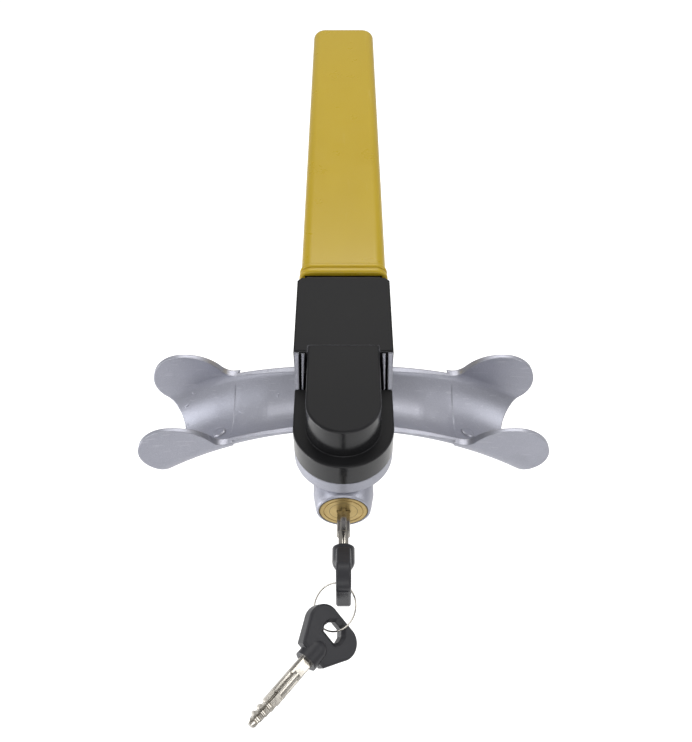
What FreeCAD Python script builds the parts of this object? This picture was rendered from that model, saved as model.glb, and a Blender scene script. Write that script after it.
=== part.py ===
import FreeCAD, Part
import math
import os
import Sketcher
from FreeCAD import Placement, Rotation, Vector

# Steering wheel clamp lock.  Millimetres, +Z up.
# X runs along the wheel rim, +Y runs out along the bar, +Z is the front of the jaw.
# The origin is the centre of the rim channel, on the plane of symmetry (x = 0).
# A trough holds the rim; a hinged jaw with a sleeved bar closes over it and is held by a
# cylinder lock whose axis runs along Y.  Two keys hang there on a ring, one in the lock.

doc = FreeCAD.newDocument("wheel_lock")

# ---------------------------------------------------------------- driving dimensions
# (alias, value): millimetres, or degrees for bend_tilt and bend_half_angle.
# Names ending in _y, _level, _top, _low, _high, _lo and _hi are mostly places on an axis.
CELLS = [
    # bend of the trough
    ("bend_radius", 190.0), ("bend_tilt", 15.0), ("bend_half_angle", 31.0),
    # trough section in the middle
    ("trough_half", 23.2), ("trough_wall", 3.3), ("trough_crown", -8.9), ("trough_arc", 31.0),
    ("trough_corner", 9.0), ("raw_wall", 36.0), ("wall_edge", 1.5), ("wall_arc", 345.0),
    # trough section at the ends
    ("end_half", 26.0), ("end_wall", 3.9), ("end_crown", -9.4), ("end_arc", 31.2),
    ("end_corner", 12.0), ("end_start", 58.5),
    # rounded lobes at the ends of the walls
    ("lobe_centre", 88.0), ("lobe_top", 10.8), ("lobe_nose", 15.7), ("lobe_back", 26.0),
    ("lobe_valley", 8.0), ("lobe_thin", 2.3),
    # jaw and the flange under it
    ("jaw_half", 23.6), ("jaw_centre_y", -42.2), ("jaw_under", 17.0), ("jaw_front", 30.4),
    ("jaw_top", 46.8), ("head_half", 23.9),
    ("flange_top", 16.6), ("flange_thick", 7.0), ("flange_inner_y", -20.0),
    # lock housing and boss
    ("lock_level", -5.5), ("housing_radius", 14.6), ("housing_nose", 12.75),
    ("face_y", -66.3), ("bore_end", -42.0),
    ("boss_level", -25.5), ("boss_half", 14.8), ("boss_chamfer", 2.6), ("boss_front", -43.0),
    ("boss_break", -22.0), ("boss_rear", -2.0),
    # hinge
    ("hinge_y", 25.5), ("hinge_level", 9.0), ("barrel_mid", 8.2), ("barrel_side", 6.4),
    ("knuckle_half", 20.3), ("pin_radius", 2.5), ("pin_half", 23.2),
    ("run_gap", 0.05), ("barrel_gap", 0.5), ("cheek_in", 20.95),
    # lock cylinder and plug
    ("cyl_radius", 11.8), ("cyl_gap", 0.05), ("plug_radius", 6.7), ("plug_gap", 0.04),
    # bolt pocket, its cover and the striker
    ("pocket_half", 12.0), ("pocket_lo", -39.6), ("pocket_hi", -26.4), ("pocket_floor", -17.5),
    ("cover_thick", 1.6), ("cover_half", 15.5), ("cover_lo", -41.5), ("cover_hi", -24.6),
    ("striker_half", 2.0), ("striker_lo", -36.6), ("striker_hi", -28.6), ("striker_foot", -6.2),
    ("window_lo", -4.6), ("window_hi", 1.0), ("crank_arm", 3.9), ("crank_pin", 1.5),
    # jaw shell and plate
    ("shell_wall", 2.4), ("boss_d_half", 17.7), ("boss_d_low", -60.3),
    ("slab_low", -10.4), ("slab_end", 42.6), ("window_y", -20.6), ("window_in", 18.3),
    ("plate_thick", 3.2), ("plate_half", 21.0),
    # bar core and sleeve
    ("bar_low", 34.4), ("bar_high", 46.4), ("sleeve_half", 22.4), ("sleeve_start", 46.4),
    ("sleeve_end", 332.0), ("sleeve_corner", 9.0), ("sleeve_edge", 5.5), ("lip_out", 1.0),
    ("core_half", 20.3), ("core_low", 36.4), ("core_high", 44.4), ("core_wall", 2.4),
    ("core_start", -5.0), ("core_end", 328.0), ("fit_gap", 0.06),
    # keys and ring
    ("key_shank", 3.0), ("bow_thick", 6.8), ("bow_half", 13.5),
    ("ring_radius", 10.5), ("ring_wire", 0.38),
]
CELLS = [cell for cell in CELLS if cell[0] != "flange_inner_y"]


class Dim:
    """A length that knows both its number and the sheet expression it comes from."""

    def __init__(self, value, text):
        self.value = float(value)
        self.text = text

    def __add__(self, other):
        other = as_dim(other)
        return Dim(self.value + other.value, "(%s + %s)" % (self.text, other.text))

    def __radd__(self, other):
        return as_dim(other) + self

    def __sub__(self, other):
        other = as_dim(other)
        return Dim(self.value - other.value, "(%s - %s)" % (self.text, other.text))

    def __rsub__(self, other):
        return as_dim(other) - self

    def __mul__(self, other):
        other = as_dim(other)
        return Dim(self.value * other.value, "(%s * %s)" % (self.text, other.text))

    def __rmul__(self, other):
        return as_dim(other) * self

    def __truediv__(self, other):
        other = as_dim(other)
        return Dim(self.value / other.value, "(%s / %s)" % (self.text, other.text))

    def __neg__(self):
        return Dim(-self.value, "(-1 * %s)" % self.text)


def as_dim(number):
    if isinstance(number, Dim):
        return number
    return Dim(float(number), repr(float(number)))


def dsin(angle):
    return Dim(math.sin(math.radians(angle.value)), "sin(%s * 1 deg)" % angle.text)


def dcos(angle):
    return Dim(math.cos(math.radians(angle.value)), "cos(%s * 1 deg)" % angle.text)


def dsqrt(number):
    return Dim(math.sqrt(number.value), "sqrt(%s)" % number.text)


class Sizes:
    """The sheet's cells by alias, as Dim values."""


size = Sizes()
sheet = doc.addObject("Spreadsheet::Sheet", "Params")
for row, (alias, value) in enumerate(CELLS, 1):
    sheet.set("A%d" % row, alias)
    sheet.set("B%d" % row, repr(value))
    sheet.setAlias("B%d" % row, alias)
    setattr(size, alias, Dim(value, "Params." + alias))
doc.recompute()

# ---------------------------------------------------------------- places shared by several pieces
SIDES = (("a", -1), ("b", 1))                   # name ending, sign of x
BEND_SIN, BEND_COS = dsin(size.bend_tilt), dcos(size.bend_tilt)
BEND_Y = -(size.bend_radius * BEND_SIN)         # a point on the axis of the bend
BEND_Z = -(size.bend_radius * BEND_COS)
# gutter sections: half width, wall, crown level, crown arc radius, corner radius
MID_GUTTER = (size.trough_half, size.trough_wall, size.trough_crown, size.trough_arc,
              size.trough_corner)
END_GUTTER = (size.end_half, size.end_wall, size.end_crown, size.end_arc, size.end_corner)
MEDIUM_GUTTER = tuple((mid + end) / 2 for mid, end in zip(MID_GUTTER, END_GUTTER))

PIN_Y = [-63.2 + 3.0 * i for i in range(4)]     # the lock's pin chambers
KEY_TOP = [2.7, 2.35, 2.0, 1.65]                # height of the key under each pin
CHAMBER_RADIUS, PIN_RADIUS = 1.22, 1.14
DOWEL_RADIUS, DOWEL_Y = 1.5, -52
TAIL_RADIUS = 2.6
CRANK_SCREW_RADIUS = 0.9
COVER_SCREW_X, COVER_SCREW_Y = 13.7, -33
SCREW_RADIUS = 1.25
SCREW_HEAD_RADIUS, SCREW_HEAD_SUNK = 1.6, 0.9
FIX_SCREW_X, FIX_SCREW_Y = 15.5, -46
STRIKER_RIVETS = (("a", -40.2), ("b", -25.0))   # name ending, y
STRIKER_RIVET_RADIUS = 1.4
STRIKER_HEAD_THICK = 2
BAR_RIVETS = [(x, y) for y in (4, 30) for x in (-12.5, 12.5)]
BAR_RIVET_RADIUS, BAR_RIVET_FOOT = 2.2, 27.0


# ---------------------------------------------------------------- parametric helpers
def bind(obj, prop, length):
    """Set a property; sheet lengths and placement coordinates go in as expressions."""
    length = as_dim(length)
    if "Params" in length.text or "." in prop:
        obj.setExpression(prop, length.text)
    else:
        setattr(obj, prop, length.value)


def place(obj, point):
    for axis, value in zip("xyz", point):
        if as_dim(value).value != 0:
            bind(obj, "Placement.Base." + axis, value)


def new_body(name):
    part = doc.addObject("PartDesign::Body", name)
    part.Label = name
    return part


def new_sketch(part, name, plane, offset=0):
    """Sketch on an origin plane, moved along its normal: +Z for XY, +X for YZ, -Y for XZ."""
    sketch = part.newObject("Sketcher::SketchObject", name)
    support = [item for item in part.Origin.OriginFeatures if item.Role == plane][0]
    sketch.AttachmentSupport = [(support, "")]
    sketch.MapMode = "FlatFace"
    offset = as_dim(offset)
    if offset.value != 0:
        sketch.AttachmentOffset = Placement(Vector(0, 0, offset.value), Rotation())
        if "Params" in offset.text:
            sketch.setExpression("AttachmentOffset.Base.z", offset.text)
    return sketch


def pin_coord(sketch, geometry, point, axis, length):
    """Fix one coordinate of a sketch point to the sheet."""
    length = as_dim(length)
    if abs(length.value) < 1e-9:
        other_axis = -2 if axis == "X" else -1
        sketch.addConstraint(Sketcher.Constraint("PointOnObject", geometry, point, other_axis))
        return
    number = sketch.addConstraint(
        Sketcher.Constraint("Distance" + axis, -1, 1, geometry, point, length.value))
    if "Params" in length.text:
        sketch.setExpression("Constraints[%d]" % number, length.text)


def outline(sketch, corners):
    """Closed outline.  A corner is (u, v), or (u, v, centre_u, centre_v, ccw) when an arc
    about that centre leaves it."""
    numbers = [[as_dim(number).value for number in corner[:4]] for corner in corners]
    following = numbers[1:] + numbers[:1]
    ends = []       # geometry, starting point, ending point
    for corner, here, there in zip(corners, numbers, following):
        u0, v0 = here[:2]
        u1, v1 = there[:2]
        if len(corner) > 2:
            centre_u, centre_v = here[2:]
            radius = 0.5 * (math.hypot(u0 - centre_u, v0 - centre_v)
                            + math.hypot(u1 - centre_u, v1 - centre_v))
            start = math.atan2(v0 - centre_v, u0 - centre_u)
            stop = math.atan2(v1 - centre_v, u1 - centre_u)
            if not corner[4]:
                start, stop = stop, start
            while stop <= start + 1e-9:
                stop += 2 * math.pi
            full = Part.Circle(Vector(centre_u, centre_v, 0), Vector(0, 0, 1), radius)
            geometry = sketch.addGeometry(Part.ArcOfCircle(full, start, stop), False)
            ends.append((geometry, 1, 2) if corner[4] else (geometry, 2, 1))
        else:
            line = Part.LineSegment(Vector(u0, v0, 0), Vector(u1, v1, 0))
            ends.append((sketch.addGeometry(line, False), 1, 2))
    for (geometry, _, last), (after, first, _) in zip(ends, ends[1:] + ends[:1]):
        sketch.addConstraint(Sketcher.Constraint("Coincident", geometry, last, after, first))
    for corner, here, there, (geometry, first, _) in zip(corners, numbers, following, ends):
        pin_coord(sketch, geometry, first, "X", corner[0])
        pin_coord(sketch, geometry, first, "Y", corner[1])
        if len(corner) > 2:
            # the chord leaves one freedom, fixed by the centre's coordinate across it
            if abs(here[0] - there[0]) < abs(here[1] - there[1]):
                pin_coord(sketch, geometry, 3, "X", corner[2])
            else:
                pin_coord(sketch, geometry, 3, "Y", corner[3])


def extrude(part, name, plane, corners, length, offset=0, sym=False, rev=False, taper=0):
    """Add a padded outline to a body."""
    sketch = new_sketch(part, name, plane, offset)
    outline(sketch, corners)
    pad = part.newObject("PartDesign::Pad", name + "_pad")
    pad.Profile = sketch
    bind(pad, "Length", length)
    pad.Midplane = sym
    pad.Reversed = rev
    if taper:
        bind(pad, "TaperAngle", taper)
    sketch.Visibility = False
    return part


def revolve(part, sketch, axis, angle=360, sym=False):
    """Turn a sketch about the line axis = (u0, v0, u1, v1) in its plane."""
    u0, v0, u1, v1 = [as_dim(number).value for number in axis]
    line = sketch.addGeometry(Part.LineSegment(Vector(u0, v0, 0), Vector(u1, v1, 0)), True)
    for i, coordinate in enumerate(axis):
        pin_coord(sketch, line, 1 + i // 2, "XY"[i % 2], coordinate)
    turned = part.newObject("PartDesign::Revolution", sketch.Name + "_rev")
    turned.Profile = sketch
    turned.ReferenceAxis = (sketch, ["Axis0"])
    bind(turned, "Angle", angle)
    turned.Midplane = sym
    return part


def near(first, second, tolerance=0.01):
    return abs(first - second) < tolerance


def dress(part, kind, name, chosen, amount):
    """Fillet or chamfer the edges of the body's last feature that chosen() accepts."""
    doc.recompute()
    base = part.Tip
    names = ["Edge%d" % i for i, edge in enumerate(base.Shape.Edges, 1) if chosen(edge)]
    if not names:
        return
    dressed = part.newObject("PartDesign::" + kind, name)
    dressed.Base = (base, names)
    bind(dressed, {"Fillet": "Radius", "Chamfer": "Size"}[kind], amount)
    doc.recompute()
    failed = "Invalid" in dressed.State or "Error" in dressed.State or dressed.Shape.isNull()
    if failed or not dressed.Shape.isValid() or len(dressed.Shape.Solids) != 1:
        # the kernel may refuse these edges; the body then stays as it was
        part.removeObject(dressed)
        doc.removeObject(dressed.Name)
        part.Tip = base
        doc.recompute()


def boolean(kind, name, base, tool):
    result = doc.addObject("Part::" + kind, name)
    result.Base = base
    result.Tool = tool
    return result


def cut(name, base, tool):
    return boolean("Cut", name, base, tool)


def fuse(name, items):
    result = doc.addObject("Part::MultiFuse", name)
    result.Shapes = items
    return result


def cylinder(name, radius, length, start, axis="Z"):
    """Cylinder that starts at a point and runs along +axis."""
    rod = doc.addObject("Part::Cylinder", name)
    bind(rod, "Radius", radius)
    bind(rod, "Height", length)
    rotation = {"Z": Rotation(), "X": Rotation(Vector(0, 1, 0), 90),
                "Y": Rotation(Vector(1, 0, 0), -90)}[axis]
    rod.Placement = Placement(Vector(*[as_dim(value).value for value in start]), rotation)
    place(rod, start)
    return rod


def lock_rod(name, radius, length, y):
    """Cylinder on the lock's axis, from y along +Y."""
    return cylinder(name, radius, length, (0, y, size.lock_level), "Y")


def hinge_rod(name, radius, length, x):
    """Cylinder on the hinge axis, from x along +X."""
    return cylinder(name, radius, length, (x, size.hinge_y, size.hinge_level), "X")


def block(name, x_range, y_range, z_range):
    box = doc.addObject("Part::Box", name)
    ranges = (x_range, y_range, z_range)
    for prop, (low, high) in zip(("Length", "Width", "Height"), ranges):
        bind(box, prop, as_dim(high) - low)
    corner = [low for low, _ in ranges]
    box.Placement = Placement(Vector(*[as_dim(value).value for value in corner]), Rotation())
    place(box, corner)
    return box


def both(half):
    """Range centred on zero."""
    return (-half, half)


def on_side(side, low, high):
    """Range on the +X side, or its mirror image."""
    return (low, high) if side > 0 else (-high, -low)


def stadium(half, centre_y, top):
    """Plan with a half-round end toward -Y and a straight end at y = top."""
    return [(half, top), (-half, top), (-half, centre_y, 0, centre_y, True), (half, centre_y)]


def rounded_box(half, low, high, corner):
    """Upright section of the bar with four rounded corners."""
    inner = half - corner
    left = -half + corner
    return [
        (left, low), (inner, low, inner, low + corner, True),
        (half, low + corner), (half, high - corner, inner, high - corner, True),
        (inner, high), (left, high, left, high - corner, True),
        (-half, high - corner), (-half, low + corner, left, low + corner, True),
    ]


PIECES = []


def piece(obj, name):
    """Label an object and mark it for export."""
    obj.Label = name
    PIECES.append((obj, name))


# ---------------------------------------------------------------- trough
def gutter_arcs(section):
    """Crown arc centre, corner arc centre, and where the two meet outside and inside."""
    half, wall, crown, arc, corner = section
    centre_v = crown + arc
    corner_u = half - corner
    reach = arc - corner
    corner_v = centre_v - dsqrt(reach * reach - corner_u * corner_u)

    def joint(radius):
        ratio = radius / reach
        return corner_u * ratio, centre_v + (corner_v - centre_v) * ratio

    return centre_v, corner_u, corner_v, joint(arc), joint(arc - wall)


def gutter_wall(section, thin, rise):
    """Gutter: a shallow crown arc, a tighter corner each side, upright walls of width thin
    that are reached a rise above the corners."""
    half, wall = section[:2]
    top = size.raw_wall
    centre_v, corner_u, corner_v, (outer_u, outer_v), (inner_u, inner_v) = gutter_arcs(section)
    inside = half - wall
    return [
        (half, corner_v), (half, top), (half - thin, top), (half - thin, corner_v + rise),
        (inside, corner_v, corner_u, corner_v, False),
        (inner_u, inner_v, 0, centre_v, False),
        (-inner_u, inner_v, -corner_u, corner_v, False),
        (-inside, corner_v), (-(half - thin), corner_v + rise), (-(half - thin), top),
        (-half, top), (-half, corner_v, -corner_u, corner_v, True),
        (-outer_u, outer_v, 0, centre_v, True), (outer_u, outer_v, corner_u, corner_v, True),
    ]


def gutter_inside(section, top):
    """The open space inside the gutter, up to top."""
    half, wall = section[:2]
    centre_v, corner_u, corner_v, _, (inner_u, inner_v) = gutter_arcs(section)
    inside = half - wall
    return [
        (-inside, top), (-inside, corner_v, -corner_u, corner_v, True),
        (-inner_u, inner_v, 0, centre_v, True), (inner_u, inner_v, corner_u, corner_v, True),
        (inside, corner_v), (inside, top),
    ]


def bent(name, sketch_name, corners, angle):
    """A section swept about the axis of the bend, equally to both sides of x = 0."""
    part = new_body(name)
    sketch = new_sketch(part, sketch_name, "YZ_Plane")
    outline(sketch, corners)
    axis = (BEND_Y, BEND_Z, BEND_Y + 50 * BEND_COS, BEND_Z - 50 * BEND_SIN)
    return revolve(part, sketch, axis, angle, sym=True)


def swung_sketch(name, degrees):
    """A YZ section plane turned about the axis of the bend."""
    sketch = doc.addObject("Sketcher::SketchObject", name)
    flat = Placement(
        Vector(), Rotation(Vector(0, 1, 0), Vector(0, 0, 1), Vector(1, 0, 0), "ZXY"))
    turn = Placement(Vector(), Rotation(Vector(0, BEND_COS.value, -BEND_SIN.value), degrees),
                     Vector(0, BEND_Y.value, BEND_Z.value))
    sketch.Placement = turn.multiply(flat)
    return sketch


def channel_flares():
    """The inside widens evenly from the middle to the ends, so no step shows in the channel."""
    stations = (("narrow", 7.6, MID_GUTTER), ("medium", 13.1, MEDIUM_GUTTER),
                ("wide", 18.6, END_GUTTER))     # name, degrees around the bend, section
    flares = []
    for end, side in SIDES:
        sections = []
        for station, degrees, section in stations:
            sketch = swung_sketch("flare_%s_%s" % (station, end), side * degrees)
            outline(sketch, gutter_inside(section, size.raw_wall))
            sections.append(sketch)
        doc.recompute()
        flare = doc.addObject("Part::Loft", "flare_" + end)
        flare.Sections = sections
        flare.Solid = True
        flare.Ruled = True
        flares.append(flare)
    doc.recompute()
    return fuse("flares", flares)


def waist_region():
    """Upright block that parts the middle of the trough from its ends."""
    edge, reach = size.end_start, 60
    right = [(edge - 3, -reach), (edge - 3, -28), (edge + 1, -22),
             (edge + 1, 19), (edge - 3, 25), (edge - 3, reach)]
    left = [(-x, y) for x, y in reversed(right)]
    return extrude(new_body("waist_region"), "waist_plan", "XY_Plane", right + left, 200,
                   sym=True)


def wall_outline():
    """Everything above the walls' top line and beyond the ends, seen along Y."""
    lobe_x, lobe_top = size.lobe_centre, size.lobe_top
    nose_z = lobe_top - size.lobe_nose
    back_z = lobe_top - size.lobe_back
    edge_z = size.wall_edge - size.wall_arc
    # the valley circle touches the wall-edge circle and the back of the lobe
    valley = size.lobe_valley.value
    edge_reach, back_reach = size.wall_arc.value + valley, size.lobe_back.value + valley
    rise = back_z.value - edge_z.value
    apart = math.hypot(lobe_x.value, rise)
    along = (edge_reach ** 2 - back_reach ** 2 + apart ** 2) / (2 * apart)
    aside = math.sqrt(edge_reach ** 2 - along ** 2)
    unit_x, unit_z = lobe_x.value / apart, rise / apart
    valley_x = along * unit_x - aside * unit_z
    valley_z = edge_z.value + along * unit_z + aside * unit_x
    edge_share = size.wall_arc.value / edge_reach
    edge_touch_x = valley_x * edge_share
    edge_touch_z = edge_z.value + (valley_z - edge_z.value) * edge_share
    back_share = size.lobe_back.value / back_reach
    back_touch_x = lobe_x.value + (valley_x - lobe_x.value) * back_share
    back_touch_z = back_z.value + (valley_z - back_z.value) * back_share
    # a straight line leaves the nose of the lobe and leans inward as it goes down
    lean, line_length = math.radians(-50), 34
    nose_end_x = lobe_x.value + size.lobe_nose.value * math.cos(lean)
    nose_end_z = nose_z.value + size.lobe_nose.value * math.sin(lean)
    foot_x = nose_end_x + line_length * math.sin(lean)
    foot_z = nose_end_z - line_length * math.cos(lean)
    far_x, low_z, high_z = 130, -60, 70
    corners = [
        (-far_x, high_z), (-far_x, low_z), (-foot_x, low_z), (-foot_x, foot_z),
        (-nose_end_x, nose_end_z, -lobe_x, nose_z, False),
        (-lobe_x, lobe_top, -lobe_x, back_z, False),
        (-back_touch_x, back_touch_z, -valley_x, valley_z, True),
        (-edge_touch_x, edge_touch_z, 0, edge_z, False),
        (edge_touch_x, edge_touch_z, valley_x, valley_z, True),
        (back_touch_x, back_touch_z, lobe_x, back_z, False),
        (lobe_x, lobe_top, lobe_x, nose_z, False),
        (nose_end_x, nose_end_z), (foot_x, foot_z), (foot_x, low_z), (far_x, low_z),
        (far_x, high_z),
    ]
    return extrude(new_body("wall_outline"), "wall_line", "XZ_Plane", corners, 160, sym=True)


def trough():
    sweep = 2 * size.bend_half_angle
    middle = bent("trough_mid", "mid_section",
                  gutter_wall(MID_GUTTER, size.trough_wall - 0.2, rise=14), sweep)
    ends = bent("trough_ends", "end_section",
                gutter_wall(END_GUTTER, size.lobe_thin, rise=17), sweep)
    waist = waist_region()
    flares = channel_flares()
    raw_middle = boolean("Common", "trough_waist_raw", middle, waist)
    middle_part = cut("trough_waist", raw_middle, flares)
    end_part = cut("trough_wings", ends, waist)
    crown = wall_outline()
    return fuse("trough", [cut("trough_waist_trim", middle_part, crown),
                           cut("trough_wings_trim", end_part, crown)])


# ---------------------------------------------------------------- casting around the trough
def flange():
    """Flat plate under the jaw, with a narrower rib and a root toward the trough."""
    half, centre_y = size.jaw_half, size.jaw_centre_y
    inner_y, lower_top = -15, size.flange_top - 2
    part = new_body("flange")
    extrude(part, "flange_plan", "XY_Plane", stadium(half, centre_y, inner_y),
            size.flange_thick, offset=size.flange_top, rev=True)
    extrude(part, "flange_rib_plan", "XY_Plane", stadium(half - 7, centre_y - 2, inner_y),
            15, offset=lower_top, rev=True)
    root = [(half, -12), (-half, -12), (-half, -24), (-half + 6, -29), (half - 6, -29),
            (half, -24)]
    return extrude(part, "flange_root_plan", "XY_Plane", root, 22, offset=lower_top, rev=True)


def housing():
    """Round housing of the lock cylinder, narrowed toward its -Y face."""
    face, radius, nose, level = (
        size.face_y, size.housing_radius, size.housing_nose, size.lock_level)
    inner_y = -18
    part = new_body("housing")
    sketch = new_sketch(part, "housing_profile", "YZ_Plane")
    outline(sketch, [
        (inner_y, level), (inner_y, level + radius), (face + 9, level + radius),
        (face + 2.5, level + nose + 0.75), (face + 0.6, level + nose + 0.3),
        (face, level + nose - 0.3), (face, level),
    ])
    return revolve(part, sketch, (-10, level, 10, level))


def boss():
    """Block under the flange and the trough, with bevelled lower side edges."""
    front, level, rear = size.boss_front, size.boss_level, size.boss_rear
    corners = [
        (front, 6), (front, level + 1), (front + 1.2, level), (size.boss_break, level),
        (rear, size.trough_crown + 0.4), (rear - 6, -6.5), (-20.5, 3), (-24, 6),
    ]
    part = extrude(new_body("boss"), "boss_profile", "YZ_Plane", corners,
                   2 * size.boss_half, sym=True)

    def lower_side_edge(edge):
        middle = edge.CenterOfMass
        first, last = [vertex.Point for vertex in edge.Vertexes]
        on_side_face = (near(abs(middle.x), size.boss_half.value, 0.05)
                        and near(first.x, last.x, 0.05))
        return (edge.Length > 1.0 and on_side_face and first.z < -8 and last.z < -8
                and front.value + 0.4 < middle.y < -3 and middle.z < -12)

    dress(part, "Chamfer", "boss_bevel", lower_side_edge, size.boss_chamfer)
    return part


def barrel(name, sketch_name, half, gap):
    """Bulged barrel on the hinge axis; gap is added to the radius at its ends."""
    sag = size.barrel_mid - size.barrel_side
    bulge = (size.knuckle_half * size.knuckle_half + sag * sag) / (2 * sag)
    radius = size.barrel_side + gap
    part = new_body(name)
    sketch = new_sketch(part, sketch_name, "XY_Plane")
    outline(sketch, [(-half, 0), (half, 0), (half, radius, 0, size.barrel_mid - bulge, True),
                     (-half, radius)])
    revolve(part, sketch, (-10, 0, 10, 0))
    place(part, (0, size.hinge_y, size.hinge_level))
    return part


def knuckle_web():
    """Web between the trough and the hinge knuckle."""
    y, level, radius = size.hinge_y, size.hinge_level, size.barrel_side
    corners = [(14, level + 1), (14, -7.2), (y - 5, -4.2), (y + 2, level - 7.2),
               (y + radius * 0.86, level - 2.6), (y + radius * 0.96, level + 1)]
    return extrude(new_body("knuckle_web"), "web_profile", "YZ_Plane", corners,
                   2 * size.knuckle_half, sym=True)


def floor_disc(name, side, radius, low, high):
    """A disc standing square on the floor of the trough, from low to high above it."""
    disc = doc.addObject("Part::Cylinder", name)
    disc.Radius = radius
    disc.Height = high - low
    normal = Vector(0.361 * side, 0.26, 0.896)
    normal.normalize()
    floor_point = Vector(66.5 * side, -10.5, -16.52)
    disc.Placement = Placement(floor_point + normal * low, Rotation(Vector(0, 0, 1), normal))
    return disc


def casting_cuts():
    """The rim channel, the lock's bores and pocket, and the holes of the casting."""
    top, open_top = size.flange_top, size.flange_top + 2
    tools = [
        bent("channel_clearance", "channel_fill", gutter_inside(MID_GUTTER, 60), 24),
        lock_rod("cylinder_bore", size.cyl_radius + size.cyl_gap,
                 size.bore_end - size.face_y + 5, size.face_y - 5),
        lock_rod("tail_bore", 9.4, 6, size.bore_end - 0.5),
        block("bolt_pocket", both(size.pocket_half), (size.pocket_lo, size.pocket_hi),
              (size.pocket_floor, open_top)),
        block("cover_recess", both(size.cover_half), (size.cover_lo, size.cover_hi),
              (top - size.cover_thick, open_top)),
        hinge_rod("pin_bore", size.pin_radius, 60, -30),
        cylinder("dowel_bore", DOWEL_RADIUS, 8.0,
                 (0, DOWEL_Y, size.lock_level - size.housing_radius - 2)),
    ]
    tools += [cylinder("screw_bore_" + end, SCREW_RADIUS, 12,
                       (side * COVER_SCREW_X, COVER_SCREW_Y, 6)) for end, side in SIDES]
    tools += [floor_disc("plug_bore_" + end, side, 3.7, -1.5, 6) for end, side in SIDES]
    return fuse("casting_cuts", tools)


def clamp_casting():
    solid = fuse("casting_solid", [
        trough(), flange(), housing(), boss(),
        barrel("knuckle", "knuckle_profile", size.knuckle_half, 0), knuckle_web()])
    piece(cut("clamp_casting", solid, casting_cuts()), "clamp_casting")


def trough_plugs():
    """Two stepped discs set in the trough floor."""
    plugs = [fuse("trough_plug_" + end, [
        floor_disc("trough_plug_base_" + end, side, 3.66, -1.5, 0.55),
        floor_disc("trough_plug_top_" + end, side, 3.1, 0.4, 0.95)]) for end, side in SIDES]
    piece(fuse("trough_plug_pair", plugs), "trough_plugs")


def hinge_hardware():
    """Hinge pin, and a washer against each end of the knuckle."""
    pin = hinge_rod("hinge_pin", size.pin_radius, 2 * size.pin_half, -size.pin_half)
    piece(pin, "hinge_pin")
    half, radius, thick = size.knuckle_half, 6.0, 0.5
    # name ending, start of the disc, start of the hole
    starts = (("a", half + 0.04, half - 0.5), ("b", -half - 0.54, -half - 1.5))
    washers = [cut("washer_" + end, hinge_rod("washer_disc_" + end, radius, thick, disc_x),
                   hinge_rod("washer_hole_" + end, size.pin_radius, 2, hole_x))
               for end, disc_x, hole_x in starts]
    piece(fuse("washer_pair", washers), "hinge_washers")


# ---------------------------------------------------------------- lock cylinder
def pin_row(name, radius, length, above_axis):
    """One upright cylinder per pin chamber, starting above the lock's axis."""
    return [cylinder(name % i, radius, length, (0, y, size.lock_level + above_axis))
            for i, y in enumerate(PIN_Y)]


def cylinder_shell():
    """Lock cylinder body, with one row of pin chambers above the plug."""
    face, level, radius = size.face_y, size.lock_level, size.cyl_radius
    shell = lock_rod("brass_body", radius, size.bore_end - face - 0.3, face)
    cuts = [lock_rod("plug_bore", size.plug_radius + size.plug_gap, 40, face - 5),
            cylinder("dowel_seat", DOWEL_RADIUS, 4.6, (0, DOWEL_Y, level - radius - 1)),
            block("strip_seat", both(1.7), (-65.2, -52.2), (level + 10.7, level + 13))]
    cuts += pin_row("chamber_%d", CHAMBER_RADIUS, 8, 5.5)
    cuts.append(cut("face_groove", lock_rod("groove_out", 9.6, 0.5, face - 0.1),
                    lock_rod("groove_in", 9.1, 1, face - 0.4)))
    cuts.append(cut("face_step", lock_rod("step_out", radius + 1, 0.6, face - 0.1),
                    lock_rod("step_in", radius - 0.45, 1.6, face - 0.4)))
    piece(cut("cylinder_shell", shell, fuse("brass_cuts", cuts)), "cylinder_shell")


def cylinder_small_parts():
    """Dowel under the cylinder; strip, driver pins and springs above the plug."""
    level = size.lock_level
    dowel = cylinder("cylinder_pin", DOWEL_RADIUS, 5.6, (0, DOWEL_Y, -19.7))
    piece(dowel, "cylinder_pin")
    strip = block("spring_strip", both(1.65), (-65.1, -52.3), (level + 10.75, level + 11.55))
    piece(strip, "spring_strip")
    piece(fuse("driver_pin_row", pin_row("driver_%d", PIN_RADIUS, 1.8, 6.82)), "driver_pins")

    pitch, height, coil_radius, wire_radius = 0.5, 1.7, 0.86, 0.16
    coils = []
    for y in PIN_Y:
        helix = Part.makeHelix(pitch, height, coil_radius)
        wire_end = Part.makeCircle(wire_radius, Vector(coil_radius, 0, 0), Vector(0, 1, 0.17))
        coil = Part.Wire(helix.Edges).makePipeShell([Part.Wire([wire_end])], True, True)
        coil.translate(Vector(0, y, level.value + 8.85))
        coils.append(coil)
    springs = doc.addObject("Part::Feature", "pin_spring_row")
    springs.Shape = Part.makeCompound(coils)
    piece(springs, "pin_springs")


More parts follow.
